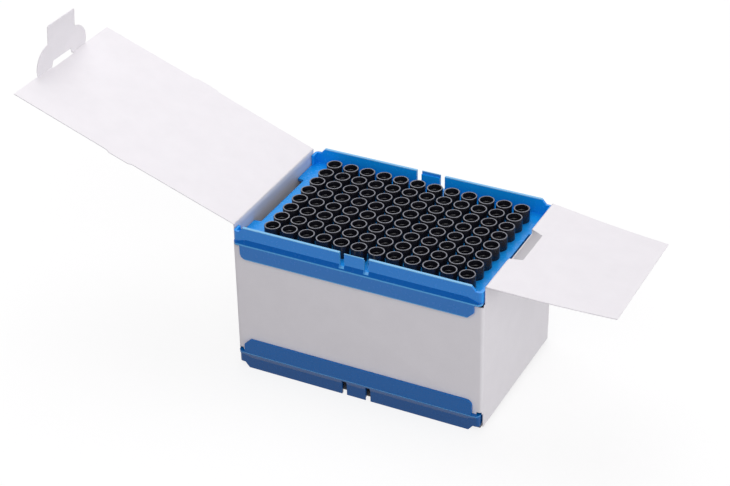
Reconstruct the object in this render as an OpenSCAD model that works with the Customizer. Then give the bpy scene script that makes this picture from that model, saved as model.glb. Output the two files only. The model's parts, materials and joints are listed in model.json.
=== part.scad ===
// A box of pipette tips. A card sleeve is closed at the top and the bottom by two copies
// of one moulded tray. The upper tray carries the tips by their collars, and the lower
// tray is the same moulding turned over. The sleeve's left end panel carries a lid with a
// tuck tab, and its right end panel carries a shorter end flap. Both stand open.
//
// Origin: the middle of the box, on the surface that it stands on. X runs along the box
// from the lid's fold to the end flap's fold, Y runs across it and Z is up.

/* [Tip grid] */
// Distance from one tip's centre to the next
pitch = 9; // [8.5:0.1:12]
// Clear gap between the collars of two neighbouring tips
collar_gap = 1.2; // [0.8:0.1:2]
// From the last tips' centres to the outside of the end panels, averaged over both ends
end_margin = 14.38; // [13:0.01:20]
// From the last tips' centres to the outside of the tray's ledges
side_margin = 11.4; // [10.5:0.1:16]
// How far the grid lies towards the end flap from the middle of the upper tray
grid_shift = 1.9; // [0:0.1:2.5]

/* [Card] */
// Thickness of the card
card_t = 0.4; // [0.3:0.05:0.6]
// Clearance between the long panels and the trays
card_gap = 0.1; // [0.05:0.05:0.3]
// Play between each end of a centred tray and the end panel beside it
tray_play = 0.4; // [0.3:0.05:0.8]
// How far the lower tray has slid towards the lid's end within that play
lower_slide = 0.3; // [0:0.05:0.3]
// Outer radius of the sleeve's upright folds
fold_r = 2; // [1:0.1:4]
// Height of the end panels' lower edges above the surface
end_panel_foot = 2; // [1:0.5:6]
// How far the end panels, the lid and the flap stay in from the ledges on each side
end_panel_inset = 3.3; // [2.8:0.1:8]
// Length of the relief notches in the long panels, beside the end panels
relief_l = 2.4; // [1:0.1:4]
// Depth of the relief notches
relief_h = 1.2; // [0.5:0.1:3]

/* [Tray] */
// Height of the side walls above the deck
wall_h = 8; // [6:0.1:12]
// Thickness of the side walls
wall_t = 1.3; // [1:0.1:2]
// How far the walls stand in from the ledges' edges
wall_inset = 1; // [0.8:0.1:2]
// Height of the slope between a wall and its ledge
slope_h = 1.6; // [0.8:0.1:3]
// Thickness of the deck
deck_t = 1.4; // [1:0.1:2.5]
// Outer radius of the walls' upright corners
corner_r = 1.8; // [1.5:0.1:5]
// Length of the walls' short returns along the tray's ends
return_l = 3.7; // [1:0.1:6]
// From the sleeve's end to where a wall drops away from its full height
wall_end = 6.2; // [5:0.1:10]
// Length of that sloping drop
drop_l = 2.3; // [1:0.1:3]
// Height of that sloping drop
drop_h = 2.7; // [1:0.1:4]
// Depth of the skirts below the top of the deck
skirt_h = 8.9; // [6:0.1:14]
// Thickness of the skirts
skirt_t = 1.1; // [0.8:0.1:2]
// How far each skirt leans in at its free edge
skirt_lean = 0.4; // [0:0.1:1]
// From the sleeve's end to the skirts' ends
skirt_end = 4.4; // [4:0.1:10]
// Length and height of the skirts' cut corners
skirt_chamfer = 3.2; // [1:0.1:5]
// Radius of the skirts' round corners
skirt_r = 3; // [1:0.1:5]
// Width of the snap tab in the middle of each wall
snap_w = 9.9; // [6:0.1:20]
// Width of the slots beside the snap tab
slot_w = 2.5; // [1.5:0.1:4]
// Height of the slots' floors above the deck
slot_floor = 1; // [0:0.1:3]
// Thickness left where the snap tab is hollowed for the lid's ears
snap_t = 0.4; // [0.3:0.05:0.8]
// Clearance around the shut tuck tab in the notches of the deck's ends
notch_gap = 0.4; // [0.2:0.1:1]

/* [Tips] */
// Length of a tip
tip_l = 59.6; // [45:0.1:100]
// Gap between the tips' ends and the lower tray
tip_foot = 8.6; // [2:0.1:20]
// How far the tips' rims lie below the tops of the walls
rim_drop = 1.4; // [1:0.1:4]
// Wall of a tip's mouth
mouth_wall = 0.7; // [0.5:0.05:1.2]
// Height above the deck at which the straight part of the mouth ends
mouth_floor = 0.6; // [0.3:0.1:2]
// Wall of the tip below its collar
tip_wall = 0.6; // [0.4:0.05:1]
// Step from the collar's radius to the tapering body's
collar_step = 0.7; // [0.5:0.05:1.2]
// Clearance between the tip's body and its hole in the deck
tip_gap = 0.25; // [0.1:0.05:0.4]
// Radius of the body at its waist, where it starts to narrow faster
waist_r = 2.4; // [1.8:0.1:2.8]
// Depth of the waist below the deck
waist_z = 28; // [10:1:40]
// Outer radius of the tip's end
end_r = 0.6; // [0.4:0.05:1]
// Radius of the hole in the tip's end
orifice_r = 0.25; // [0.15:0.05:0.35]

/* [Lid] */
// Gap between the lid's far fold and the outside of the other end panel
lid_short = 2.76; // [2:0.01:4]
// How far the lid stands open, above level
lid_angle = 20; // [-30:1:90]
// How much wider the lid is at its far fold, on each side
lid_flare = 0.5; // [0:0.1:0.6]
// Clearance around the lid's ears, in the snap tabs and between the walls beside them
ear_gap = 0.15; // [0.1:0.05:0.4]
// Length of the slope at each end of an ear
ear_slope = 1.9; // [0.5:0.1:3]

/* [Tuck tab] */
// Angle between the tab and the inside of the lid
tab_angle = 105; // [84:1:180]
// The same angle once the lid is shut
tab_shut_angle = 84; // [80:1:90]
// Width of the tab at its fold
tab_w = 41; // [34:0.1:42]
// How far each shoulder flares out beyond the fold
tab_flare = 0.8; // [0:0.1:1]
// Length of the tab
tab_l = 23.7; // [18:0.1:30]
// Width of its tongue
tongue_w = 23; // [16:0.1:28]
// Radius of its round shoulders
shoulder_r = 11; // [6:0.1:12]
// Height of the shoulders' widest point above the fold
shoulder_z = 3; // [2:0.1:6]
// Cut corners of the tongue
tongue_chamfer = 1; // [0:0.1:3]
// Width of the finger slot at the fold
finger_w = 18.4; // [12:0.1:24]
// Width of the finger slot at its far side
finger_far_w = 15; // [10:0.1:20]
// Height of the finger slot in the tab
finger_h = 3; // [2:0.1:6]
// Depth of the finger slot in the lid
finger_lid = 1; // [0:0.1:3]

/* [End flap] */
// Length of the end flap
flap_l = 59.2; // [40:0.1:70]
// Width of the end flap at its free edge
flap_far_w = 67.5; // [50:0.1:78]
// How far the end flap hangs below level
flap_droop = 4; // [0:1:80]
// Width of the hole at its fold
hole_w = 28.5; // [20:0.1:40]
// Width of the hole at its far side
hole_far_w = 23; // [16:0.1:36]
// Length of the hole in the flap
hole_l = 6; // [3:0.1:12]
// Depth of the hole in the end panel
hole_drop = 0.6; // [0.2:0.1:3]

/* [Hidden] */
columns = 12;
rows = 8;
function column_name(column) = str("tips_column_", column < 10 ? "0" : "", column);

$fn = 64;
// Overlap of a cut past the face that it opens
cut = 1;
// Play at a fold, between the two pieces of card that meet there
fold_play = 0.05;
// Bevel on the outside of a tip's rim
rim_bevel = 0.2;

tray_blue = [0.13, 0.45, 0.80];
card_white = [0.93, 0.93, 0.94];
tip_black = [0.06, 0.06, 0.07];

// Overall lengths and widths
box_l = (columns - 1) * pitch + 2 * end_margin;
ledge_w = (rows - 1) * pitch + 2 * side_margin;
tray_l = box_l - 2 * (card_t + tray_play);
wall_y = ledge_w / 2 - wall_inset;
// Inner radius of the walls' corners, which a thick wall leaves nearly square
corner_in_r = max(corner_r - wall_t, 0.2);
skirt_half_l = box_l / 2 - skirt_end;
// The ledges' corners stay just outside the walls' corners
ledge_r = corner_r + wall_inset / 2;
sleeve_w = ledge_w - 2 * (skirt_lean + skirt_t + card_gap);
fold_w = ledge_w - 2 * end_panel_inset;

// Heights: the tips set the box's height, and the flap shuts on the lid
rim_z = wall_h + deck_t + tip_foot + tip_l;
box_h = rim_z + rim_drop;
deck_z = box_h - wall_h;
collar_h = rim_z - deck_z;
panel_top = deck_z - deck_t - card_gap;
panel_bottom = wall_h + deck_t + card_gap;
lid_fold_z = rim_z + card_gap + card_t;
flap_fold_z = lid_fold_z + card_t;

// Tips
collar_r = (pitch - collar_gap) / 2;
mouth_r = collar_r - mouth_wall;
body_r = collar_r - collar_step;
deck_hole_r = body_r + tip_gap;

// Lid
lid_l = box_l - lid_short;
ear_y = wall_y - snap_t - ear_gap;
ear_l = snap_w + 2 * (slot_w - ear_gap - ear_slope);
// The tab starts clear of the lid's inner face when the lid is shut
tab_start = (card_t * (1 + cos(tab_shut_angle)) + 2 * fold_play) / sin(tab_shut_angle);

// Notches for the shut tab, which is furthest from the end panel at the deck's underside
notch_w = tab_w + 2 * (tab_flare + notch_gap);
shut_tab_in = lid_short + (lid_fold_z - panel_top) / tan(tab_shut_angle) + card_t;
notch_d = shut_tab_in + notch_gap - (box_l - tray_l) / 2;

// A rectangle in the XY plane with round corners, centred on the origin
module rounded_rectangle(length, width, radius) {
    square([length - 2 * radius, width], center = true);
    square([length, width - 2 * radius], center = true);
    for (x = [-1, 1], y = [-1, 1])
        translate([x * (length / 2 - radius), y * (width / 2 - radius)])
            circle(radius);
}

// An outline drawn in the XZ plane, given a thickness along Y and centred on it
module along_y(width) {
    rotate([90, 0, 0])
        linear_extrude(width, center = true)
            children();
}

// An outline drawn with its X across the box and its Y up, drawn out along the box
module along_x(length) {
    rotate([90, 0, 90])
        linear_extrude(length, center = true)
            children();
}

// Places its children at the centre of every tip in one column, columns counting from 1
module at_column(column) {
    for (row = [1:rows])
        translate([
            (column - (columns + 1) / 2) * pitch + grid_shift,
            (row - (rows + 1) / 2) * pitch,
            0
        ])
            children();
}

// Plan of the deck with its ledges, and a notch for the tuck tab in each end
module deck_plan() {
    notch_taper = 0.4;
    difference() {
        rounded_rectangle(tray_l, ledge_w, ledge_r);
        for (x = [-1, 1])
            polygon([
                [x * (tray_l / 2 - notch_d), notch_w / 2 - notch_taper],
                [x * (tray_l / 2 + cut), notch_w / 2 + notch_taper],
                [x * (tray_l / 2 + cut), -notch_w / 2 - notch_taper],
                [x * (tray_l / 2 - notch_d), -notch_w / 2 + notch_taper]
            ]);
    }
}

// Deck with a hole for every tip, its upper face at height 0
module deck() {
    difference() {
        translate([0, 0, -deck_t])
            linear_extrude(deck_t)
                deck_plan();
        for (column = [1:columns])
            at_column(column)
                translate([0, 0, -deck_t - cut])
                    cylinder(h = deck_t + 2 * cut, r = deck_hole_r);
    }
}

// Side view of the walls, with the drop near each end
module wall_outline() {
    top_x = box_l / 2 - wall_end;
    low_x = top_x + drop_l;
    low_h = wall_h - drop_h;
    polygon([
        [-tray_l, -deck_t / 2], [-tray_l, low_h], [-low_x, low_h], [-top_x, wall_h],
        [top_x, wall_h], [low_x, low_h], [tray_l, low_h], [tray_l, -deck_t / 2]
    ]);
}

// Plan of the walls: both long sides, and a short return around each corner
module wall_plan() {
    difference() {
        rounded_rectangle(tray_l, 2 * wall_y, corner_r);
        rounded_rectangle(tray_l - 2 * wall_t, 2 * (wall_y - wall_t), corner_in_r);
        square([tray_l + 2 * cut, 2 * (wall_y - corner_r - return_l)], center = true);
    }
}

// Walls with the snap tabs cut free by slots and hollowed for the lid's ears
module walls() {
    difference() {
        intersection() {
            translate([0, 0, -deck_t / 2])
                linear_extrude(wall_h + deck_t)
                    wall_plan();
            along_y(ledge_w)
                wall_outline();
        }
        for (x = [-1, 1])
            translate([x * (snap_w + slot_w) / 2, 0, slot_floor + wall_h / 2])
                cube([slot_w, ledge_w + cut, wall_h], center = true);
        translate([0, 0, wall_h - rim_drop - card_gap + wall_h / 2])
            cube([snap_w + slot_w, 2 * (wall_y - snap_t), wall_h], center = true);
    }
}

// Slope that fills the corner between one wall and its ledge, broken by the slots
module slope() {
    difference() {
        along_x(2 * skirt_half_l)
            polygon([
                [wall_y - wall_t / 2, -deck_t / 2], [ledge_w / 2, -deck_t / 2],
                [ledge_w / 2, 0], [wall_y, slope_h], [wall_y - wall_t / 2, slope_h]
            ]);
        for (x = [-1, 1])
            translate([x * (snap_w + slot_w) / 2, wall_y, slot_floor + slope_h])
                cube([slot_w, 2 * wall_t, 2 * slope_h], center = true);
    }
}

// Side view of the skirts, with one cut corner and one round one
module skirt_outline() {
    difference() {
        translate([-skirt_half_l, -skirt_h])
            square([2 * skirt_half_l, skirt_h]);
        polygon([
            [skirt_half_l - skirt_chamfer, -skirt_h - cut],
            [skirt_half_l - skirt_chamfer, -skirt_h],
            [skirt_half_l, -skirt_h + skirt_chamfer],
            [skirt_half_l + cut, -skirt_h + skirt_chamfer],
            [skirt_half_l + cut, -skirt_h - cut]
        ]);
        translate([-skirt_half_l, -skirt_h])
            difference() {
                translate([-cut, -cut])
                    square(skirt_r + cut);
                translate([skirt_r, skirt_r])
                    circle(skirt_r);
            }
    }
}

// Skirt that hangs from one ledge and leans in towards the card
module skirt() {
    intersection() {
        along_x(2 * skirt_half_l)
            polygon([
                [ledge_w / 2, 0], [ledge_w / 2 - skirt_t, 0],
                [ledge_w / 2 - skirt_t - skirt_lean, -skirt_h],
                [ledge_w / 2 - skirt_lean, -skirt_h]
            ]);
        along_y(2 * ledge_w)
            skirt_outline();
    }
}

// The moulding that closes both ends of the sleeve, with its deck's face at height 0
module tray() {
    color(tray_blue)
        union() {
            deck();
            walls();
            for (side = [0, 1])
                mirror([0, side, 0]) {
                    slope();
                    skirt();
                }
        }
}

module upper_tray() {
    translate([0, 0, deck_z])
        tray();
}

module lower_tray() {
    translate([-lower_slide, 0, wall_h])
        rotate([0, 180, 0])
            tray();
}

// Half section of a tip, with the deck's face at height 0
module tip_section() {
    end_z = collar_h - tip_l;
    polygon([
        [mouth_r, collar_h], [collar_r - rim_bevel, collar_h],
        [collar_r, collar_h - rim_bevel], [collar_r, 0],
        [body_r, 0], [waist_r, -waist_z], [end_r, end_z],
        [orifice_r, end_z], [waist_r - tip_wall, -waist_z],
        [body_r - tip_wall, 0], [mouth_r, mouth_floor]
    ]);
}

module tips_column(column) {
    color(tip_black)
        at_column(column)
            translate([0, 0, deck_z])
                rotate_extrude()
                    tip_section();
}

// Ring of card that goes round the box between the two decks
module sleeve_ring() {
    height = panel_top - panel_bottom;
    relief_x = box_l / 2 - card_t - relief_l;
    difference() {
        translate([0, 0, panel_bottom])
            linear_extrude(height)
                difference() {
                    rounded_rectangle(box_l, sleeve_w, fold_r);
                    rounded_rectangle(box_l - 2 * card_t, sleeve_w - 2 * card_t, fold_r - card_t);
                }
        for (x = [-1, 1], y = [-1, 1], z = [panel_bottom, panel_top])
            translate([x * (relief_x + relief_l / 2), y * sleeve_w / 2, z])
                cube([relief_l, 2 * fold_r, 2 * relief_h], center = true);
    }
}

// End panel from its lower edge up to the given height, on the side that x names
module end_panel(x, top) {
    translate([x * (box_l - card_t) / 2, 0, (end_panel_foot + top) / 2])
        cube([card_t, fold_w, top - end_panel_foot], center = true);
}

module carton_sleeve() {
    color(card_white)
        difference() {
            union() {
                sleeve_ring();
                end_panel(-1, lid_fold_z - card_t - fold_play);
                end_panel(1, flap_fold_z - card_t - fold_play);
            }
            translate([box_l / 2, 0, flap_fold_z])
                cube([4 * card_t, hole_w, 2 * (card_t + fold_play + hole_drop)], center = true);
        }
}

// Plan of the lid, from its fold at x = 0 to its far fold
module lid_plan() {
    near_y = fold_w / 2;
    far_y = near_y + lid_flare;
    mid_y = (near_y + far_y) / 2;
    mid_x = box_l / 2;
    ear_x = ear_l / 2;
    difference() {
        union() {
            polygon([
                [fold_play, near_y], [lid_l - fold_play, far_y],
                [lid_l - fold_play, -far_y], [fold_play, -near_y]
            ]);
            polygon([
                [mid_x - ear_x - ear_slope, mid_y - lid_flare], [mid_x - ear_x, ear_y],
                [mid_x + ear_x, ear_y], [mid_x + ear_x + ear_slope, mid_y - lid_flare],
                [mid_x + ear_x + ear_slope, lid_flare - mid_y], [mid_x + ear_x, -ear_y],
                [mid_x - ear_x, -ear_y], [mid_x - ear_x - ear_slope, lid_flare - mid_y]
            ]);
        }
        translate([lid_l - finger_lid, -finger_w / 2])
            square([finger_lid + cut, finger_w]);
    }
}

// Places a sheet that is drawn lying on its outer face, with its fold along Y, on the
// lid's fold at the angle that the lid is open
module at_lid_fold() {
    translate([-box_l / 2, 0, lid_fold_z])
        rotate([0, 0, 180])
            rotate([0, -lid_angle, 0])
                children();
}

module carton_lid() {
    color(card_white)
        at_lid_fold()
            linear_extrude(card_t)
                lid_plan();
}

// One edge of the tuck tab, from beside its fold round the shoulder and up the tongue,
// where side is 1 or -1
function tab_edge(side) =
    let (
        shoulder_y = tab_w / 2 + tab_flare - shoulder_r,
        last_a = acos((tongue_w / 2 - shoulder_y) / shoulder_r)
    )
    [
        [tab_start, side * tab_w / 2],
        for (i = [0:16])
            let (a = last_a * i / 16)
            [shoulder_z + shoulder_r * sin(a), side * (shoulder_y + shoulder_r * cos(a))],
        [tab_l - tongue_chamfer, side * tongue_w / 2],
        [tab_l, side * (tongue_w / 2 - tongue_chamfer)]
    ];

function reversed(points) = [for (i = [len(points) - 1:-1:0]) points[i]];

// Plan of the tuck tab, from its fold at x = 0 to the end of its tongue
module tab_plan() {
    difference() {
        polygon(concat(tab_edge(1), reversed(tab_edge(-1))));
        polygon([
            [-cut, finger_w / 2], [0, finger_w / 2], [finger_h, finger_far_w / 2],
            [finger_h, -finger_far_w / 2], [0, -finger_w / 2], [-cut, -finger_w / 2]
        ]);
    }
}

module lid_tuck_tab() {
    color(card_white)
        at_lid_fold()
            translate([lid_l, 0, 0])
                rotate([0, tab_angle - 180, 0])
                    linear_extrude(card_t)
                        tab_plan();
}

// Plan of the end flap, from its fold at x = 0 to its free edge
module flap_plan() {
    difference() {
        polygon([
            [fold_play, fold_w / 2], [flap_l, flap_far_w / 2],
            [flap_l, -flap_far_w / 2], [fold_play, -fold_w / 2]
        ]);
        polygon([
            [-cut, hole_w / 2], [0, hole_w / 2], [hole_l, hole_far_w / 2],
            [hole_l, -hole_far_w / 2], [0, -hole_w / 2], [-cut, -hole_w / 2]
        ]);
    }
}

module carton_end_flap() {
    color(card_white)
        translate([box_l / 2, 0, flap_fold_z])
            rotate([0, flap_droop, 0])
                linear_extrude(card_t)
                    flap_plan();
}

upper_tray();
lower_tray();
carton_sleeve();
carton_lid();
lid_tuck_tab();
carton_end_flap();
for (column = [1:columns])
    tips_column(column);
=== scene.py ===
import json
import math

import bmesh
import bpy
from mathutils import Matrix, Vector
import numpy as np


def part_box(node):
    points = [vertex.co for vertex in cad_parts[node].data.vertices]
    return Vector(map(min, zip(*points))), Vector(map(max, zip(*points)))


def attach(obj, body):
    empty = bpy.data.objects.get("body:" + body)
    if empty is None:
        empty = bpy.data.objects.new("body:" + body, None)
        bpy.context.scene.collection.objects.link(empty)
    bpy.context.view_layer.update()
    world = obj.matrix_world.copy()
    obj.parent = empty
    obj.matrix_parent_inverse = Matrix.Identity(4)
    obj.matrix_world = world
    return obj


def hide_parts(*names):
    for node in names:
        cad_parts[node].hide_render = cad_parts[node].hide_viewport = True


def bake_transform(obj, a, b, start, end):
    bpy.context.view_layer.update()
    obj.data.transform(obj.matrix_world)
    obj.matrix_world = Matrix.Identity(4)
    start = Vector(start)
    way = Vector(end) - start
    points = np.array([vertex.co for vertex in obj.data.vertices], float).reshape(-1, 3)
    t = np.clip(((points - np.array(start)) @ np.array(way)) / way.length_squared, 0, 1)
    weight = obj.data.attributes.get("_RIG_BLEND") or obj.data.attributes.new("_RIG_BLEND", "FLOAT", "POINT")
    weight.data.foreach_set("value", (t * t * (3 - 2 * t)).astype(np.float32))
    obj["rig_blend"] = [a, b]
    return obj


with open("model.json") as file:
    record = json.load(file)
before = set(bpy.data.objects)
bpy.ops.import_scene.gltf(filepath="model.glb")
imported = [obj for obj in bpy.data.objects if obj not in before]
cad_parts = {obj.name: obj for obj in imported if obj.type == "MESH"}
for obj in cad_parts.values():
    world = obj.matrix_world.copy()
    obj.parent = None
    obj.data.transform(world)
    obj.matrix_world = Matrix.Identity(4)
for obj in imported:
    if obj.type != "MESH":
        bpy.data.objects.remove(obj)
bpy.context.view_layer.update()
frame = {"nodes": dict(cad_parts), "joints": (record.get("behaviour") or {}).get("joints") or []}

MM = 0.001

# Places and sizes of the box, from the construction
upper_low, upper_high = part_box("upper_tray")
lower_low, lower_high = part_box("lower_tray")
sleeve_low, sleeve_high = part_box("carton_sleeve")
first_tips_low, first_tips_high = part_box("tips_column_01")
hinges = {joint["name"]: Vector(joint["pos_m"]) for joint in frame["joints"]}
lid_fold = hinges["lid_hinge"]
flap_fold = hinges["end_flap_hinge"]

box_l = sleeve_high.x - sleeve_low.x
sleeve_w = sleeve_high.y - sleeve_low.y
tray_l = upper_high.x - upper_low.x
ledge_w = upper_high.y - upper_low.y

# How far a cutter reaches past an edge, and to each side through the card
past = 1 * MM
through = 2 * MM

# Tray: its walls, deck and ledges
wall_h = 8 * MM
wall_t = 1.3 * MM
wall_y = ledge_w / 2 - 1 * MM
deck_t = 1.4 * MM
deck_z = upper_high.z - wall_h
ledge_r = 2.3 * MM
corner_r = 1.8 * MM
moulded_edge_r = 0.2 * MM

# The walls' returns at their ends, and the drop in their height before them
return_l = 3.7 * MM
drop_start = 6.2 * MM
drop_l = 2.3 * MM
drop_h = 2.7 * MM

# The slopes under the walls, and how far they reach down the ledges' edges
slope_h = 1.9 * MM
ledge_drop = 0.8 * MM
slope_end = 1.5 * MM
slope_run_out = 0.34

# Skirts, whose tops are buried a little in the ledges
skirt_h = deck_z - upper_low.z
skirt_half_l = box_l / 2 - 4.4 * MM
skirt_t = 1.1 * MM
skirt_buried = 0.1 * MM
skirt_lean = 0.4 * MM
skirt_chamfer = 3.2 * MM
skirt_r = 3 * MM

# Snap tabs with the slots beside them and the hollows over them, which take the lid's ears
snap_w = 9.9 * MM
snap_t = 0.4 * MM
slot_w = 2.5 * MM
slot_x = (snap_w + slot_w) / 2
slot_floor = 0.3 * MM
hollow_h = 1.5 * MM

# Notches in the deck's ends, which take the tuck tab
notch_x = 59.43 * MM
notch_half = 21.3 * MM
notch_far_half = 22.1 * MM

# Card, with the gaps at its folds and between it and the decks
card_t = 0.4 * MM
card_edge_r = 0.06 * MM
fold_w = 79.2 * MM
sheet_gap = 0.05 * MM
tab_gap = 0.02 * MM
deck_gap = 0.1 * MM

# Sleeve, with the reliefs where its end panels leave the ring
panel_top = deck_z - deck_t - deck_gap
panel_bottom = wall_h + deck_t + deck_gap
end_panel_foot = 2 * MM
end_panel_gap = 0.45 * MM
relief_l = 2.4 * MM
relief_h = 1.2 * MM

# Lid with its ears
lid_l = 125 * MM
lid_half = 40.45 * MM
lid_open = math.radians(20)
ear_half = 5.4 * MM
ear_slope = 1.9 * MM
ear_y = wall_y - 0.5 * MM

# Tuck tab, with its round shoulders, its tongue and the finger slot that it shares with the lid
tab_open = math.radians(105)
tab_l = 23.7 * MM
tab_half = 20.5 * MM
shoulder_half = 21.3 * MM
shoulder_r = 11 * MM
shoulder_l = 14 * MM
tongue_half = 11.5 * MM
tongue_corner = 1 * MM
finger_w = 18.4 * MM
finger_far_w = 15 * MM
finger_h = 3 * MM
finger_lid = 1 * MM

# End flap, with the hole at its fold
flap_l = 59.2 * MM
flap_far_half = 33.75 * MM
flap_open = math.radians(3.6)
flap_bow = 0.6 * MM
hole_w = 28.5 * MM
hole_far_w = 23 * MM
hole_l = 6 * MM
hole_drop = 2.3 * MM

# Tips: collar and mouth, the step in the mouth, the narrowing body
pitch = 9 * MM
columns, rows = 12, 8
tip_l = 59.6 * MM
tip_sides = 32
tip_wall = 0.6 * MM
collar_r = 3.9 * MM
mouth_r = 3.2 * MM
mouth_depth = 6 * MM
step_r = 3.03 * MM
step_depth = 2.6 * MM
step_h = 0.22 * MM
waist_r = 2.4 * MM
waist_depth = 28 * MM
end_r = 0.6 * MM
orifice_r = 0.25 * MM
tip_hole_r = 3.45 * MM
rim_rounding = 0.26 * MM
mouth_rounding = 0.18 * MM
tip_shading = math.radians(24)
rim_z = first_tips_high.z
collar_h = rim_z - deck_z
first_tip = Vector(((first_tips_low.x + first_tips_high.x) / 2, (1 - rows) * pitch / 2, 0))


# Handling of the pieces

def only(piece):
    """Leaves this piece alone selected, and active."""
    bpy.ops.object.select_all(action="DESELECT")
    piece.select_set(True)
    bpy.context.view_layer.objects.active = piece


def pick(piece, kind, place=lambda p: True, along=None):
    """Opens a piece for editing, with only the corners, edges or faces at a place selected,
    or all of them. The edges may be held to those that run along one axis."""
    if piece.mode == "OBJECT":
        only(piece)
        bpy.ops.object.mode_set(mode="EDIT")
    bpy.ops.mesh.select_mode(type=kind)
    bpy.ops.mesh.select_all(action="DESELECT")
    shape = bmesh.from_edit_mesh(piece.data)
    for corner in shape.verts:
        corner.tag = bool(place(corner.co))
    if kind == "VERT":
        for corner in shape.verts:
            corner.select_set(corner.tag)
    elif kind == "EDGE":
        for edge in shape.edges:
            run = edge.verts[1].co - edge.verts[0].co
            held = along is None or abs(run[along]) > 0.99 * run.length
            edge.select_set(held and all(corner.tag for corner in edge.verts))
    else:
        for face in shape.faces:
            face.select_set(all(corner.tag for corner in face.verts))
    shape.select_flush_mode()
    bmesh.update_edit_mesh(piece.data)


def close(piece):
    """Ends the editing of a piece."""
    bpy.ops.object.mode_set(mode="OBJECT")
    return piece


def settle(piece):
    """Puts a piece's place, turn and size into its mesh."""
    only(piece)
    bpy.ops.object.transform_apply(location=True, rotation=True, scale=True)
    return piece


def put(piece, *moves):
    """Places a piece by several moves, the last of which comes first, and settles it."""
    whole = Matrix.Identity(4)
    for move in moves:
        whole = whole @ move
    piece.matrix_world = whole
    return settle(piece)


def block(name, low, high):
    """A block between two opposite corners."""
    low, high = Vector(low), Vector(high)
    bpy.ops.object.select_all(action="DESELECT")
    bpy.ops.mesh.primitive_cube_add(size=1, location=(low + high) / 2, scale=high - low)
    piece = bpy.context.object
    piece.name = name
    return settle(piece)


def modify(piece, kind, **settings):
    """Adds a modifier to a piece and applies it."""
    only(piece)
    bpy.ops.object.modifier_add(type=kind)
    modifier = piece.modifiers[-1]
    for setting, value in settings.items():
        setattr(modifier, setting, value)
    bpy.ops.object.modifier_apply(modifier=modifier.name)
    return piece


def discard(piece):
    """Takes a piece away that has done its work."""
    only(piece)
    bpy.ops.object.delete()


def cut(piece, cutter):
    """Takes the cutter's shape out of a piece."""
    modify(piece, "BOOLEAN", operation="DIFFERENCE", solver="EXACT", object=cutter)
    discard(cutter)
    return piece


def weld(piece, other):
    """Makes one moulding of two shapes."""
    modify(piece, "BOOLEAN", operation="UNION", solver="EXACT", object=other)
    discard(other)
    return piece


def copy_of(piece, name):
    """A copy with its own mesh."""
    only(piece)
    bpy.ops.object.duplicate(linked=False)
    copy = bpy.context.object
    copy.name = name
    return copy


def near(a, b, reach=0.02 * MM):
    """Whether two lengths are the same, or nearly."""
    return abs(a - b) < reach


def round_edges(piece, width, segments=2):
    """Rounds every sharp edge of a piece a little, as a mould or a die leaves it."""
    pick(piece, "VERT")
    bpy.ops.mesh.select_all(action="SELECT")
    bpy.ops.mesh.remove_doubles(threshold=0.003 * MM)
    bpy.ops.mesh.dissolve_limited(angle_limit=math.radians(1))
    bpy.ops.mesh.select_mode(type="EDGE")
    bpy.ops.mesh.select_all(action="DESELECT")
    bpy.ops.mesh.edges_select_sharp(sharpness=math.radians(16))
    bpy.ops.mesh.mark_sharp()
    close(piece)
    bpy.ops.object.shade_smooth()
    return modify(
        piece, "BEVEL", width=width, segments=segments, limit_method="ANGLE",
        angle_limit=math.radians(28), harden_normals=True, miter_outer="MITER_ARC",
    )


def hand_over(piece, name, body, slot, finish, *nodes):
    """Names a finished piece, gives it its finish and lets it stand for its nodes."""
    piece.name = name
    piece.data.name = name
    piece.data.materials.clear()
    piece.data.materials.append(finish)
    for node in nodes:
        frame["nodes"][node].data.materials.clear()
        frame["nodes"][node].data.materials.append(finish)
    if "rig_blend" not in piece:
        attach(piece, body)
    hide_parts(*nodes)


# The tray, with its deck's upper face at height 0

def slant(piece, side):
    """Cuts a piece back to the slope that runs from one wall's foot to the edge of its ledge."""
    outwards = Vector((0, side * (slope_h + ledge_drop), ledge_w / 2 - wall_y)).normalized()
    pick(piece, "FACE")
    bpy.ops.mesh.bisect(
        plane_co=(0, side * wall_y, slope_h), plane_no=outwards, use_fill=True, clear_outer=True
    )
    return close(piece)


def tray_deck():
    """The deck with its ledges, the tips' holes and a notch for the tuck tab at each end."""
    deck = block("deck", (-tray_l / 2, -ledge_w / 2, -deck_t), (tray_l / 2, ledge_w / 2, 0))
    pick(deck, "EDGE", along=2)
    bpy.ops.mesh.bevel(offset=ledge_r, segments=6, affect="EDGES")
    close(deck)
    for side in (-1, 1):
        slant(deck, side)

    bpy.ops.object.select_all(action="DESELECT")
    bpy.ops.mesh.primitive_cylinder_add(
        vertices=tip_sides, radius=tip_hole_r, depth=deck_t + 2 * past,
        location=(first_tip.x, first_tip.y, -deck_t / 2),
    )
    holes = settle(bpy.context.object)
    for count, step in ((columns, (pitch, 0, 0)), (rows, (0, pitch, 0))):
        modify(
            holes, "ARRAY", count=count, use_relative_offset=False,
            use_constant_offset=True, constant_offset_displace=step,
        )
    cut(deck, holes)

    for side in (-1, 1):
        inner, outer = side * notch_x, side * (tray_l / 2 + past)
        notch = block(
            "notch",
            (min(inner, outer), -notch_half, -deck_t - past),
            (max(inner, outer), notch_half, past),
        )
        pick(notch, "VERT", lambda p: near(p.x, outer))
        bpy.ops.transform.resize(
            value=(1, notch_far_half / notch_half, 1), center_override=(outer, 0, 0)
        )
        cut(deck, close(notch))
    return deck


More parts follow.
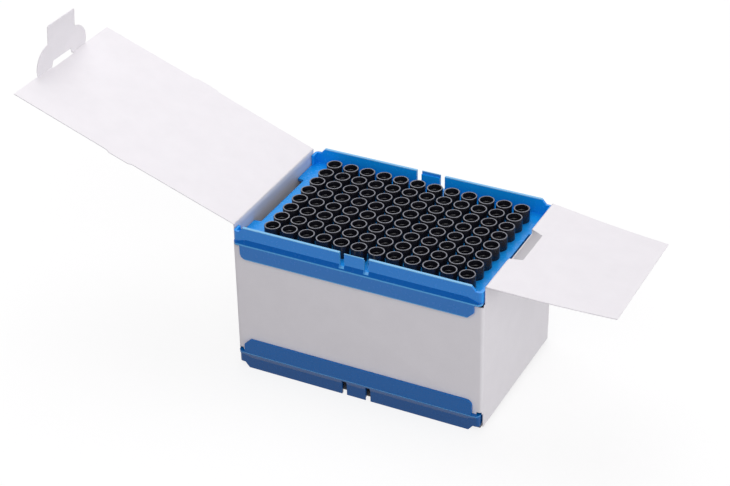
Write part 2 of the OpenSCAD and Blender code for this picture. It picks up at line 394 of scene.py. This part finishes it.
def tray_walls():
    """The two long walls with their short returns, lowered near each end."""
    walls = block("walls", (-tray_l / 2, -wall_y, -deck_t / 2), (tray_l / 2, wall_y, wall_h))
    pick(walls, "EDGE", along=2)
    bpy.ops.mesh.bevel(offset=corner_r, segments=6, affect="EDGES")
    for height in (-deck_t / 2, wall_h):
        pick(walls, "FACE", lambda p: near(p.z, height))
        bpy.ops.mesh.delete(type="FACE")
    close(walls)
    modify(walls, "SOLIDIFY", thickness=wall_t, offset=-1, use_even_offset=True)

    open_y = wall_y - corner_r - return_l
    cut(walls, block("open_end", (-tray_l, -open_y, -wall_h), (tray_l, open_y, 2 * wall_h)))

    top_x = box_l / 2 - drop_start
    low_h = wall_h - drop_h
    for side in (-1, 1):
        inner, outer = side * top_x, side * tray_l
        drop = block(
            "drop", (min(inner, outer), -ledge_w, low_h), (max(inner, outer), ledge_w, 2 * wall_h)
        )
        pick(drop, "VERT", lambda p: near(p.x, inner) and near(p.z, low_h))
        bpy.ops.transform.translate(value=(side * drop_l, 0, 0))
        pick(drop, "VERT", lambda p: near(p.x, inner) and near(p.z, 2 * wall_h))
        bpy.ops.transform.translate(value=(-side * drop_l * wall_h / drop_h, 0, 0))
        cut(walls, close(drop))
    return walls


def tray_slope(side):
    """The slope in the corner between one wall and its ledge, run out to nothing at its ends."""
    inner, outer = side * (wall_y - wall_t / 2), side * ledge_w / 2
    end_x = tray_l / 2 - slope_end
    slope = slant(block(
        "slope",
        (-end_x, min(inner, outer), -deck_t / 2), (end_x, max(inner, outer), slope_h),
    ), side)
    for end in (-1, 1):
        pick(slope, "FACE")
        bpy.ops.mesh.bisect(
            plane_co=(end * end_x, 0, 0), plane_no=(end * slope_run_out, 0, 1),
            use_fill=True, clear_outer=True,
        )
    return close(slope)


def tray_skirt(side):
    """The skirt under one ledge, with one cut corner and one round one."""
    outer = side * ledge_w / 2
    inner = outer - side * skirt_t
    skirt = block(
        "skirt",
        (-skirt_half_l, min(outer, inner), -skirt_h),
        (skirt_half_l, max(outer, inner), -skirt_buried),
    )
    pick(skirt, "VERT", lambda p: near(p.z, -skirt_h))
    bpy.ops.transform.translate(value=(0, -side * skirt_lean, 0))
    pick(skirt, "EDGE", lambda p: near(p.x, skirt_half_l) and near(p.z, -skirt_h))
    bpy.ops.mesh.bevel(offset=skirt_chamfer, segments=1, affect="EDGES")
    pick(skirt, "EDGE", lambda p: near(p.x, -skirt_half_l) and near(p.z, -skirt_h))
    bpy.ops.mesh.bevel(offset=skirt_r, segments=7, affect="EDGES")
    return slant(close(skirt), side)


def tray_moulding():
    """The whole moulding, with the snap tabs cut free and hollowed for the lid's ears."""
    tray = weld(tray_deck(), tray_walls())
    for side in (-1, 1):
        weld(tray, tray_slope(side))
        weld(tray, tray_skirt(side))
    for side in (-1, 1):
        middle = side * slot_x
        cut(tray, block(
            "slot",
            (middle - slot_w / 2, -ledge_w, slot_floor), (middle + slot_w / 2, ledge_w, 2 * wall_h),
        ))
    hollow_y = wall_y - snap_t
    cut(tray, block(
        "hollow", (-slot_x, -hollow_y, wall_h - hollow_h), (slot_x, hollow_y, 2 * wall_h)
    ))
    return round_edges(tray, moulded_edge_r)


# The tips

def tip():
    """One tip at the first place in the grid: collar, mouth, tapering body and open end."""
    bore_r = mouth_r - tip_wall
    point_l = tip_l - collar_h - waist_depth
    bpy.ops.object.select_all(action="DESELECT")
    bpy.ops.mesh.primitive_cylinder_add(
        vertices=tip_sides, radius=collar_r, depth=collar_h,
        location=(first_tip.x, first_tip.y, deck_z + collar_h / 2),
    )
    piece = settle(bpy.context.object)

    def draw(depth, radius, end_radius):
        """Draws the picked face down, and makes it wider or narrower."""
        bpy.ops.mesh.extrude_region_move(TRANSFORM_OT_translate={"value": (0, 0, -depth)})
        grow = end_radius / radius
        bpy.ops.transform.resize(value=(grow, grow, 1), center_override=first_tip)

    pick(piece, "FACE", lambda p: near(p.z, rim_z))
    bpy.ops.mesh.inset(thickness=collar_r - mouth_r)
    draw(step_depth, mouth_r, mouth_r)
    draw(step_h, mouth_r, step_r)
    draw(mouth_depth - step_depth - step_h, step_r, step_r)
    draw(collar_h - mouth_depth, step_r, bore_r)
    draw(waist_depth, bore_r, waist_r - tip_wall)
    draw(point_l, waist_r - tip_wall, orifice_r)
    bpy.ops.mesh.delete(type="FACE")
    pick(piece, "FACE", lambda p: near(p.z, deck_z) and (p - first_tip).xy.length > collar_r * 0.99)
    bpy.ops.mesh.inset(thickness=collar_r - mouth_r)
    draw(waist_depth, mouth_r, waist_r)
    draw(point_l, waist_r, end_r)
    bpy.ops.mesh.delete(type="FACE")
    pick(piece, "EDGE", lambda p: near(p.z, rim_z - tip_l))
    bpy.ops.mesh.bridge_edge_loops()
    for rim_r, width in ((collar_r, rim_rounding), (mouth_r, mouth_rounding)):
        pick(piece, "EDGE", lambda p: near(p.z, rim_z) and near((p - first_tip).xy.length, rim_r))
        bpy.ops.mesh.bevel(offset=width, segments=2, affect="EDGES")
    pick(piece, "FACE")
    bpy.ops.mesh.normals_make_consistent(inside=False)
    close(piece)
    bpy.ops.object.shade_smooth_by_angle(angle=tip_shading)
    return piece


def tip_columns(finish):
    """All the tips, with one piece for each column of them."""
    column = modify(
        tip(), "ARRAY", count=rows, use_relative_offset=False,
        use_constant_offset=True, constant_offset_displace=(0, pitch, 0),
    )
    for number in range(1, columns + 1):
        piece = copy_of(column, f"tips_{number:02d}")
        put(piece, Matrix.Translation(((number - 1) * pitch, 0, 0)))
        hand_over(
            piece, piece.name, "box", "black_tip_plastic", finish, f"tips_column_{number:02d}"
        )
    discard(column)


# The card

def card_ring():
    """The sleeve of card, with its end panels drawn out past the ring."""
    ring = block(
        "ring", (-box_l / 2, -sleeve_w / 2, panel_bottom), (box_l / 2, sleeve_w / 2, panel_top)
    )
    pick(ring, "EDGE", along=2)
    bpy.ops.mesh.bevel(offset=(sleeve_w - fold_w) / 2, segments=6, affect="EDGES")
    for height in (panel_bottom, panel_top):
        pick(ring, "FACE", lambda p: near(p.z, height))
        bpy.ops.mesh.delete(type="FACE")
    for end, fold in ((-1, lid_fold), (1, flap_fold)):
        for height, reach in ((panel_top, fold.z - end_panel_gap), (panel_bottom, end_panel_foot)):
            pick(ring, "EDGE", lambda p: near(p.x, end * box_l / 2) and near(p.z, height))
            bpy.ops.mesh.extrude_region_move(
                TRANSFORM_OT_translate={"value": (0, 0, reach - height)}
            )
    close(ring)
    modify(ring, "SOLIDIFY", thickness=card_t, offset=-1, use_even_offset=True)
    for x in (-1, 1):
        near_x, far_x = x * (box_l / 2 - card_t - relief_l), x * (box_l / 2 - card_t)
        for y in (-1, 1):
            for z in (panel_bottom, panel_top):
                cut(ring, block(
                    "relief",
                    (min(near_x, far_x), y * sleeve_w / 2 - through, z - relief_h),
                    (max(near_x, far_x), y * sleeve_w / 2 + through, z + relief_h),
                ))
    cut(ring, block(
        "hole",
        (box_l / 2 - through, -hole_w / 2, flap_fold.z - hole_drop),
        (box_l / 2 + through, hole_w / 2, flap_fold.z + past),
    ))
    return round_edges(ring, card_edge_r, 1)


def widen(share):
    """Makes the picked corners of a sheet wider or narrower about its middle line."""
    bpy.ops.transform.resize(value=(1, share, 1), center_override=(0, 0, 0))


def card_sheet(name, near_x, far_x, near_half, far_half):
    """A flat sheet of card on its outer face, with its fold across x = 0."""
    bpy.ops.object.select_all(action="DESELECT")
    bpy.ops.mesh.primitive_plane_add(size=1, location=((near_x + far_x) / 2, 0, 0))
    sheet = bpy.context.object
    sheet.name = name
    sheet.scale = (far_x - near_x, 2 * near_half, 1)
    settle(sheet)
    pick(sheet, "VERT", lambda p: near(p.x, far_x))
    widen(far_half / near_half)
    return sheet


def lid_sheet():
    """The lid, with an ear on each long side and the finger slot at its far fold."""
    lid = card_sheet("lid", sheet_gap, lid_l - tab_gap, fold_w / 2, lid_half)
    middle = box_l / 2
    edge_y = fold_w / 2 + (lid_half - fold_w / 2) * middle / lid_l
    for x in (-ear_half - ear_slope, -ear_half, ear_half, ear_half + ear_slope):
        pick(lid, "FACE")
        bpy.ops.mesh.bisect(plane_co=(middle + x, 0, 0), plane_no=(1, 0, 0))
    for reach, half in ((ear_half, ear_y), (ear_half + ear_slope, lid_half)):
        pick(lid, "VERT", lambda p: near(abs(p.x - middle), reach))
        widen(half / edge_y)
    close(lid)
    modify(lid, "SOLIDIFY", thickness=card_t, offset=1)
    cut(lid, block(
        "slot",
        (lid_l - finger_lid, -finger_w / 2, -through), (lid_l + past, finger_w / 2, through),
    ))
    return round_edges(lid, card_edge_r, 1)


def tab_sheet():
    """The tuck tab, with round shoulders, a tongue and the finger slot at its fold."""
    tab = card_sheet("tab", tab_gap, shoulder_l, shoulder_half, shoulder_half)
    bpy.ops.mesh.bevel(offset=shoulder_r, segments=9, affect="VERTICES")
    pick(tab, "VERT", lambda p: near(p.x, shoulder_l))
    widen(tongue_half / (shoulder_half - shoulder_r))
    pick(tab, "EDGE", lambda p: near(p.x, shoulder_l))
    bpy.ops.mesh.extrude_region_move(
        TRANSFORM_OT_translate={"value": (tab_l - shoulder_l, 0, 0)}
    )
    pick(tab, "VERT", lambda p: near(p.x, tab_l))
    bpy.ops.mesh.bevel(offset=tongue_corner, segments=2, affect="VERTICES")
    pick(tab, "VERT", lambda p: near(p.x, tab_gap))
    widen(tab_half / shoulder_half)
    close(tab)
    modify(tab, "SOLIDIFY", thickness=card_t, offset=1)
    slot = block("slot", (-past, -finger_w / 2, -through), (finger_h, finger_w / 2, through))
    pick(slot, "VERT", lambda p: near(p.x, finger_h))
    widen(finger_far_w / finger_w)
    cut(tab, close(slot))
    return round_edges(tab, card_edge_r, 1)


def flap_sheet():
    """The end flap, narrowing to its free edge and bowed a little, with the hole at its fold."""
    flap = card_sheet("flap", sheet_gap, flap_l, fold_w / 2, flap_far_half)
    for tenth in range(1, 10):
        pick(flap, "FACE")
        bpy.ops.mesh.bisect(plane_co=(flap_l * tenth / 10, 0, 0), plane_no=(1, 0, 0))
    for tenth in range(1, 10):
        pick(flap, "VERT", lambda p: near(p.x, flap_l * tenth / 10))
        sag = flap_bow * 4 * tenth * (10 - tenth) / 100
        bpy.ops.transform.translate(value=(0, 0, -sag))
    close(flap)
    modify(flap, "SOLIDIFY", thickness=card_t, offset=1)
    hole = block("hole", (-past, -hole_w / 2, -through), (hole_l, hole_w / 2, through))
    pick(hole, "VERT", lambda p: near(p.x, hole_l))
    widen(hole_far_w / hole_w)
    cut(flap, close(hole))
    return round_edges(flap, card_edge_r, 1)


def crease(fold, side, turn, parts):
    """The card that bends at a fold: the end panel's top edge, spun about the fold."""
    strips = []
    for low_y, high_y in parts:
        inner = fold.x - side * card_t
        strip = block(
            "crease", (min(fold.x, inner), low_y, fold.z - end_panel_gap),
            (max(fold.x, inner), high_y, fold.z),
        )
        pick(strip, "FACE", lambda p: near(p.z, fold.z))
        bpy.ops.mesh.spin(steps=6, angle=side * turn, center=fold, axis=(0, 1, 0))
        pick(strip, "VERT")
        bpy.ops.mesh.remove_doubles(threshold=0.001 * MM)
        bpy.ops.mesh.normals_make_consistent(inside=False)
        strips.append(close(strip))
    only(strips[0])
    for strip in strips[1:]:
        strip.select_set(True)
        bpy.ops.object.join()
    bpy.ops.object.shade_smooth_by_angle(angle=math.radians(40))
    return strips[0]


# Finishes

# The trays' plastic: in general, then upwards from the foot of the lower tray as painted shade, deepest near
# the floor and lifting towards the upper walls
clear_blue = (0.003, 0.235, 0.77)
foot_shade_blue = (0.001, 0.090, 0.32)
low_shade_blue = (0.001, 0.128, 0.44)
skirt_shade_blue = (0.020, 0.200, 0.61)
ledge_shade_blue = (0.022, 0.205, 0.63)
lit_wall_blue = (0.022, 0.260, 0.79)

# The same plastic with light and shade painted in: painted light inside the walls and on the snap tabs,
# painted shade on the slopes, and painted highlights along the thin edges and the walls' tops
inside_light_blue = (0.005, 0.335, 0.92)
slope_shade_blue = (0, 0.13, 0.52)
snap_light_blue = (0.03, 0.285, 0.82)
edge_highlight_blue = (0.10, 0.43, 0.84)
top_highlight_blue = (0.20, 0.54, 0.88)
slope_shade_mid = deck_z + 0.7 * MM
slope_shade_reach = 1.4 * MM

# A hair's breadth, by which the colours' edges lie past the shapes' own
hair = 0.1 * MM

# Card and tips, with the darkest and the lightest of their patches
card_white = (0.88, 0.86, 0.89)
card_patches = (0.865, 0.845, 0.875), (0.895, 0.875, 0.905)
tip_black = (0.009, 0.008, 0.011)
body_patches = (0.006, 0.006, 0.010), (0.011, 0.011, 0.017)
# The rims' grey is a painted highlight
rim_highlight_patches = (0.14, 0.150, 0.185), (0.20, 0.210, 0.25)


def new_finish(name, colour, roughness):
    """A plain finish, with its nodes and its shader."""
    finish = bpy.data.materials.new(name)
    finish.use_nodes = True
    shader = finish.node_tree.nodes["Principled BSDF"]
    shader.inputs["Base Color"].default_value = (*colour, 1)
    shader.inputs["Roughness"].default_value = roughness
    return finish, finish.node_tree, shader


def noise(tree, where, scale, detail=3, roughness=0.5):
    """Noise from 0 to 1, with its patches this many to a metre."""
    node = tree.nodes.new("ShaderNodeTexNoise")
    node.inputs["Scale"].default_value = scale
    node.inputs["Detail"].default_value = detail
    node.inputs["Roughness"].default_value = roughness
    tree.links.new(where, node.inputs["Vector"])
    return node.outputs["Fac"]


def ramp(tree, fac, *stops):
    """Colours by a value, each at its stop."""
    node = tree.nodes.new("ShaderNodeValToRGB")
    tree.links.new(fac, node.inputs["Fac"])
    while len(node.color_ramp.elements) < len(stops):
        node.color_ramp.elements.new(0.5)
    for element, (position, colour) in zip(node.color_ramp.elements, stops):
        element.position = position
        element.color = (*colour, 1)
    return node.outputs["Color"]


def patches(tree, fac, low, high):
    """Wanders between two colours."""
    return ramp(tree, fac, (0.3, low), (0.7, high))


def uneven_gloss(tree, shader, fac, low, high):
    """Lets the roughness wander between two values."""
    tree.links.new(patches(tree, fac, (low,) * 3, (high,) * 3), shader.inputs["Roughness"])


def bump(tree, height, distance, strength, after=None):
    """A fine unevenness of this depth, which may lie over another one."""
    node = tree.nodes.new("ShaderNodeBump")
    node.inputs["Distance"].default_value = distance
    node.inputs["Strength"].default_value = strength
    tree.links.new(height, node.inputs["Height"])
    if after:
        tree.links.new(after, node.inputs["Normal"])
    return node.outputs["Normal"]


def place_on(tree):
    """Where a point lies on the object, whole and by axis."""
    where = tree.nodes.new("ShaderNodeTexCoord").outputs["Object"]
    axes = tree.nodes.new("ShaderNodeSeparateXYZ")
    tree.links.new(where, axes.inputs["Vector"])
    return where, axes.outputs["X"], axes.outputs["Y"], axes.outputs["Z"]


def calculate(tree, operation, *values):
    """A sum on numbers or on other nodes' outputs."""
    node = tree.nodes.new("ShaderNodeMath")
    node.operation = operation
    for socket, value in zip(node.inputs, values):
        if isinstance(value, (int, float)):
            socket.default_value = value
        else:
            tree.links.new(value, socket)
    return node.outputs["Value"]


def overlap(tree, mask, other):
    """1 where two masks are both 1."""
    return calculate(tree, "MULTIPLY", mask, other)


def paint_where(tree, mask, colour, under):
    """Lays a colour, given as numbers or by a node, over another where the mask is 1."""
    mix = tree.nodes.new("ShaderNodeMix")
    mix.data_type = "RGBA"
    tree.links.new(mask, mix.inputs[0])
    tree.links.new(under, mix.inputs[6])
    if isinstance(colour, tuple):
        mix.inputs[7].default_value = (*colour, 1)
    else:
        tree.links.new(colour, mix.inputs[7])
    return mix.outputs[2]


def blue_moulding():
    """The trays' plastic, with painted light and shade: deeper in painted shade low down and on the slopes,
    lighter in painted light inside the walls and on the snap tabs, and pale with painted highlights along
    the thin edges and the upper walls' tops."""
    finish, tree, shader = new_finish("blue_moulded_plastic", clear_blue, 0.25)
    shader.inputs["Specular IOR Level"].default_value = 0.36
    where, across, depth, height = place_on(tree)
    along = calculate(tree, "ABSOLUTE", across)
    aside = calculate(tree, "ABSOLUTE", depth)

    def above(level):
        return calculate(tree, "GREATER_THAN", height, level)

    def beyond(reach):
        return calculate(tree, "GREATER_THAN", aside, reach)

    # Painted shade: the blue deepens with lower height, darkest near the floor and lightest on the upper
    # walls
    share = calculate(tree, "DIVIDE", height, upper_high.z)
    uneven = calculate(tree, "MULTIPLY", noise(tree, where, 28), 0.02)
    colour = ramp(
        tree, calculate(tree, "ADD", share, uneven),
        (0.09, foot_shade_blue), (0.12, low_shade_blue), (0.5, low_shade_blue),
        (0.7, skirt_shade_blue), (0.89, ledge_shade_blue), (0.93, lit_wall_blue),
    )

    # Painted light: inside the upper tray's walls the deck and walls are painted lighter
    within = calculate(tree, "LESS_THAN", aside, wall_y - wall_t / 2)
    inside = overlap(tree, within, above(deck_z - 3 * hair))
    colour = paint_where(tree, inside, inside_light_blue, colour)

    # Painted shade: a darker band on the slopes at the walls' feet
    slope_height = calculate(tree, "COMPARE", height, slope_shade_mid, slope_shade_reach)
    slope = overlap(tree, beyond(wall_y + 0.2 * hair), slope_height)
    colour = paint_where(tree, slope, slope_shade_blue, colour)

    # Painted light: the snap tabs' outer faces are painted lighter
    snap_width = calculate(tree, "LESS_THAN", along, snap_w / 2 + hair / 2)
    snap_tab = overlap(tree, snap_width, above(deck_z + slope_h))
    snap_face = overlap(tree, snap_tab, beyond(wall_y - hair))
    colour = paint_where(tree, snap_face, snap_light_blue, colour)

    # Painted highlights: pale lines along the slots' sides, the ledges' edges and the upper skirts' lower
    # edges
    slot_width = calculate(tree, "COMPARE", along, slot_x, slot_w / 2 + hair / 2)
    edges = overlap(tree, slot_width, above(deck_z + hair))
    for edge, reach in (
        (deck_z - ledge_drop - hair, 3.5 * hair),
        (deck_z - skirt_h, 4 * hair),
        (wall_h + ledge_drop, 1.5 * hair),
    ):
        edges = calculate(tree, "MAXIMUM", edges, calculate(tree, "COMPARE", height, edge, reach))
    edge_highlights = overlap(tree, edges, beyond(wall_y - wall_t - hair))
    colour = paint_where(tree, edge_highlights, edge_highlight_blue, colour)
    # Painted highlight: the upper walls' tops are painted pale
    colour = paint_where(tree, above(upper_high.z - 3.5 * hair), top_highlight_blue, colour)
    tree.links.new(colour, shader.inputs["Base Color"])

    uneven_gloss(tree, shader, noise(tree, where, 600), 0.21, 0.29)
    tree.links.new(bump(tree, noise(tree, where, 60, 1), 0.12 * MM, 0.25), shader.inputs["Normal"])
    return finish


def white_card():
    """The carton's card, with a fine fibre and a broad unevenness."""
    finish, tree, shader = new_finish("white_folding_card", card_white, 0.55)
    where = place_on(tree)[0]
    tree.links.new(
        patches(tree, noise(tree, where, 90, 6, 0.65), *card_patches), shader.inputs["Base Color"]
    )
    uneven_gloss(tree, shader, noise(tree, where, 900), 0.5, 0.62)
    fibre = bump(tree, noise(tree, where, 2600, 4, 0.7), 0.03 * MM, 0.25)
    broad = bump(tree, noise(tree, where, 22, 2), 0.4 * MM, 0.2, fibre)
    tree.links.new(broad, shader.inputs["Normal"])
    return finish


def black_tips():
    """The tips' plastic, with a painted highlight in grey on the flat of the rims."""
    finish, tree, shader = new_finish("black_moulded_tips", tip_black, 0.3)
    where, _, _, height = place_on(tree)
    # Painted highlight: the flat of each rim is painted grey
    rim = tree.nodes.new("ShaderNodeMapRange")
    rim.inputs["From Min"].default_value = rim_z - 0.07 * MM
    rim.inputs["From Max"].default_value = rim_z - 0.01 * MM
    tree.links.new(height, rim.inputs["Value"])
    colour = paint_where(
        tree, rim.outputs["Result"],
        patches(tree, noise(tree, where, 700), *rim_highlight_patches),
        patches(tree, noise(tree, where, 300), *body_patches),
    )
    tree.links.new(colour, shader.inputs["Base Color"])
    uneven_gloss(tree, shader, noise(tree, where, 800), 0.24, 0.36)
    tree.links.new(bump(tree, noise(tree, where, 1800, 2), 0.02 * MM, 0.2), shader.inputs["Normal"])
    return finish


# Making the pieces

blue, card, black = blue_moulding(), white_card(), black_tips()

upper = tray_moulding()
lower = copy_of(upper, "lower")
put(upper, Matrix.Translation((0, 0, deck_z)))
put(
    lower,
    Matrix.Translation(((lower_low.x + lower_high.x) / 2, 0, wall_h)),
    Matrix.Rotation(math.pi, 4, "Y"),
)
hand_over(upper, "tray_upper", "box", "tray_plastic", blue, "upper_tray")
hand_over(lower, "tray_lower", "box", "tray_plastic", blue, "lower_tray")

tip_columns(black)

hand_over(card_ring(), "sleeve", "box", "white_card", card, "carton_sleeve")
at_lid_fold = (
    Matrix.Translation(lid_fold),
    Matrix.Rotation(math.pi, 4, "Z"), Matrix.Rotation(-lid_open, 4, "Y"),
)
hand_over(put(lid_sheet(), *at_lid_fold), "lid", "lid", "white_card", card, "carton_lid")
hand_over(
    put(
        tab_sheet(), *at_lid_fold,
        Matrix.Translation((lid_l, 0, 0)), Matrix.Rotation(tab_open - math.pi, 4, "Y"),
    ),
    "tuck_tab", "tuck_tab", "white_card", card, "lid_tuck_tab",
)
hand_over(
    put(flap_sheet(), Matrix.Translation(flap_fold), Matrix.Rotation(flap_open, 4, "Y")),
    "end_flap", "end_flap", "white_card", card, "carton_end_flap",
)

lid_crease = crease(lid_fold, -1, math.pi / 2 - lid_open, ((-fold_w / 2, fold_w / 2),))
flap_crease = crease(
    flap_fold, 1, math.pi / 2 + flap_open, ((-fold_w / 2, -hole_w / 2), (hole_w / 2, fold_w / 2))
)
for strip, fold, side, other in (
    (lid_crease, lid_fold, -1, "lid"), (flap_crease, flap_fold, 1, "end_flap"),
):
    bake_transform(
        strip, "box", other,
        start=fold - Vector((side * 0.28 * MM, 0, 0.2 * MM)),
        end=fold + Vector((-side * 0.05 * MM, 0, 0.35 * MM)),
    )
    hand_over(strip, f"{other}_crease", "box", "white_card", card)


# Camera

# In front of the box and to its right, looking down on it
camera_ahead = Vector((-0.38643, 0.75625, -0.52797)).normalized()
camera_right = Vector((0.89477, 0.44624, -0.01570)).normalized()
camera_up = camera_right.cross(camera_ahead).normalized()
bpy.ops.object.camera_add(
    location=(0.33853, -0.69300, 0.54216),
    rotation=Matrix((camera_right, camera_up, -camera_ahead)).transposed().to_euler(),
)
camera = bpy.context.object
camera.data.sensor_width = 36
camera.data.lens = 94.93
bpy.context.scene.camera = camera


# Studio

bounce_grey = (0.38, 0.38, 0.39)
seen_grey = (0.22, 0.22, 0.22)
floor_glow = 0.81
world_white = (1.0, 0.97, 1.0)
world_light = 0.45
world_seen = 1
lamp_aim = Vector((0, 0, 0.04))


def background_rays(tree):
    """1 for the rays that show the background: from the camera, in gloss and through glass."""
    path = tree.nodes.new("ShaderNodeLightPath")
    shown = path.outputs["Is Camera Ray"]
    for kind in ("Is Glossy Ray", "Is Transmission Ray"):
        shown = calculate(tree, "MAXIMUM", shown, path.outputs[kind])
    return shown


def floor_paint():
    """The floor's own paint, which the box is lit back by."""
    paint = bpy.data.materials.new("floor_paint")
    paint.use_nodes = True
    tree = paint.node_tree
    tree.nodes.clear()
    output = tree.nodes.new("ShaderNodeOutputMaterial")
    bounce = tree.nodes.new("ShaderNodeBsdfDiffuse")
    bounce.inputs["Color"].default_value = (*bounce_grey, 1)
    tree.links.new(bounce.outputs["BSDF"], output.inputs["Surface"])
    return paint


def white_floor():
    """The same paint, with a glow where it is seen, so that it shows white."""
    floor = floor_paint()
    floor.name = "white_floor"
    tree = floor.node_tree
    output, bounce = tree.nodes["Material Output"], tree.nodes["Diffuse BSDF"]
    seen = tree.nodes.new("ShaderNodeBsdfDiffuse")
    seen.inputs["Color"].default_value = (*seen_grey, 1)
    glow = tree.nodes.new("ShaderNodeEmission")
    glow.inputs["Strength"].default_value = floor_glow
    glowing = tree.nodes.new("ShaderNodeAddShader")
    tree.links.new(seen.outputs["BSDF"], glowing.inputs[0])
    tree.links.new(glow.outputs["Emission"], glowing.inputs[1])
    mix = tree.nodes.new("ShaderNodeMixShader")
    tree.links.new(background_rays(tree), mix.inputs["Fac"])
    tree.links.new(bounce.outputs["BSDF"], mix.inputs[1])
    tree.links.new(glowing.outputs["Shader"], mix.inputs[2])
    tree.links.new(mix.outputs["Shader"], output.inputs["Surface"])
    return floor


def studio_plane(name, size, paint, place=(0, 0, 0), turn=(0, 0, 0)):
    """A flat surface that isn't part of the box."""
    bpy.ops.object.select_all(action="DESELECT")
    bpy.ops.mesh.primitive_plane_add(size=size, location=place, rotation=turn)
    plane = bpy.context.object
    plane.name = name
    plane.data.materials.append(paint)
    return plane


floor = studio_plane("floor", 12, white_floor())

# Under the box the floor doesn't glow, so the hollow of the lower tray stays dark
under = studio_plane("floor_under_box", 1, floor_paint(), (0, 0, 0.05 * MM))
under.scale = (124 * MM, 77 * MM, 1)

world = bpy.data.worlds.new("studio")
bpy.context.scene.world = world
world.use_nodes = True
tree = world.node_tree
light = tree.nodes["Background"]
light.inputs["Color"].default_value = (*world_white, 1)
level = tree.nodes.new("ShaderNodeMapRange")
level.inputs["To Min"].default_value = world_light
level.inputs["To Max"].default_value = world_seen
tree.links.new(background_rays(tree), level.inputs["Value"])
tree.links.new(level.outputs["Result"], light.inputs["Strength"])


def soft_box(name, place, width, height, power):
    """A lamp with a lit rectangle, turned towards the box."""
    turn = (lamp_aim - Vector(place)).to_track_quat("-Z", "Y").to_euler()
    bpy.ops.object.light_add(type="AREA", location=place, rotation=turn)
    lamp = bpy.context.object
    lamp.name = name
    lamp.data.shape = "RECTANGLE"
    lamp.data.size = width
    lamp.data.size_y = height
    lamp.data.energy = power


soft_box("overhead_soft_box", (-0.40, 0.55, 1.20), width=1.1, height=1.1, power=7.7)
soft_box("front_soft_box", (0.42, -0.98, 1.05), width=0.9, height=0.9, power=5.45)
soft_box("side_soft_box", (1.38, -0.05, 0.16), width=0.9, height=0.3, power=5.4)

# A black card at the front, which shows in gloss alone and keeps the trays' front slopes dark
black_paint = new_finish("black_card_paint", (0.02, 0.02, 0.02), 0.5)[0]
flag_place = Vector((-0.62, -1.47, 0.34))
flag_turn = flag_place.to_track_quat("Z", "Y").to_euler()
flag = studio_plane("black_card", 2.4, black_paint, flag_place, flag_turn)
flag.visible_camera = False
flag.visible_diffuse = False
flag.visible_shadow = False

bpy.context.scene.view_settings.view_transform = "Standard"
